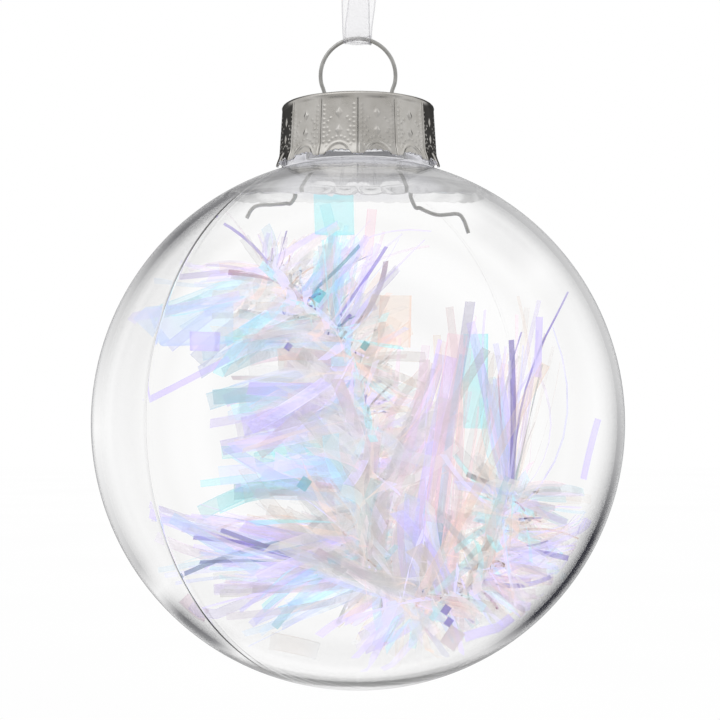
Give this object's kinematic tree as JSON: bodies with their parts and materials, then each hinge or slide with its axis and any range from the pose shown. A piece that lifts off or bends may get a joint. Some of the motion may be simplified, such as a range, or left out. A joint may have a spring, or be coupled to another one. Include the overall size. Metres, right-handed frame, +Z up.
{
  "type": "ball ornament",
  "caption": "Clear ball ornament with a pressed metal cap, a sprung wire hanger and a sheer ribbon loop, filled with iridescent film tinsel.",
  "frame": {"origin": "on the ball's upright axis, level with the ball's lowest point, at the bottom centre of the bounding box", "axes": "+Z up along the neck's axis, towards the cap and ribbon; the hanger ring lies in the XZ plane; -Y is the front"},
  "size_m": [0.08, 0.08, 0.1456],
  "materials": {
    "clear_shell": "gloss",
    "cap_metal": "satin",
    "hanger_wire": "satin",
    "organza": "satin",
    "core_thread": "matte",
    "film_fringe": "gloss",
    "film_violet": "gloss",
    "film_blue": "gloss",
    "film_aqua": "gloss",
    "film_pink": "gloss",
    "film_peach": "gloss"
  },
  "bodies": {
    "ribbon": {"ribbon_loop": "organza"},
    "hanger": {"hanger_ring": "hanger_wire"},
    "leg_right": {"hanger_leg_right": "hanger_wire"},
    "leg_left": {"hanger_leg_left": "hanger_wire"},
    "cap": {"cap": "cap_metal"},
    "ball": {"shell_half_rear_left": "clear_shell", "shell_half_front_right": "clear_shell"},
    "tinsel": {"tinsel_core_thread_a": "core_thread", "tinsel_core_thread_b": "core_thread", "tinsel_tuft_1": "film_fringe", "tinsel_tuft_2": "film_fringe", "tinsel_tuft_3": "film_fringe", "tinsel_tuft_4": "film_fringe", "tinsel_tuft_5": "film_fringe", "tinsel_tuft_6": "film_fringe", "tinsel_tuft_7": "film_fringe", "tinsel_tuft_8": "film_fringe", "film_strip_upper_left": "film_violet", "film_plate_left": "film_blue", "film_chip_left": "film_violet", "film_strip_left": "film_violet", "film_plate_top": "film_aqua", "film_strip_top": "film_pink", "film_plate_centre": "film_peach", "film_strip_centre_right": "film_pink", "film_strip_long_right": "film_peach", "film_plate_right": "film_aqua", "film_strip_right": "film_violet", "film_strip_far_right": "film_violet", "film_strip_lower_right": "film_violet", "film_chip_lower_right": "film_peach", "film_strip_bottom_right": "film_violet", "film_strip_lower_left": "film_blue", "film_chip_lower_left": "film_violet", "film_plate_bottom": "film_aqua"}
  },
  "joints": [
    {"name": "ribbon_swing", "type": "hinge", "parent": "ribbon", "child": "hanger", "pos_m": [0, 0, 0.0986], "axis": [1, 0, 0], "range_deg": [-60, 60]},
    {"name": "hanger_slide", "type": "slide", "parent": "hanger", "child": "cap", "axis": [0, 0, 1], "range_m": [0, 0.0015]},
    {"name": "cap_pull", "type": "slide", "parent": "cap", "child": "ball", "axis": [0, 0, -1], "range_m": [0, 0.021]},
    {"name": "leg_squeeze_right", "type": "hinge", "parent": "hanger", "child": "leg_right", "pos_m": [0.005, 0, 0.087], "axis": [0, 1, 0], "range_deg": [0, 66]},
    {"name": "leg_squeeze_left", "type": "hinge", "parent": "hanger", "child": "leg_left", "pos_m": [-0.005, 0, 0.087], "axis": [0, -1, 0], "range_deg": [0, 74]},
    {"name": "tinsel_turn", "type": "hinge", "parent": "ball", "child": "tinsel", "pos_m": [0, 0, 0], "axis": [0, 0, 1], "range_deg": [-30, 30]}
  ],
  "couplings": [
    {"joint": "leg_squeeze_right", "follows": "cap_pull", "rad_per_m": 54.105},
    {"joint": "leg_squeeze_left", "follows": "cap_pull", "rad_per_m": 61.087}
  ]
}
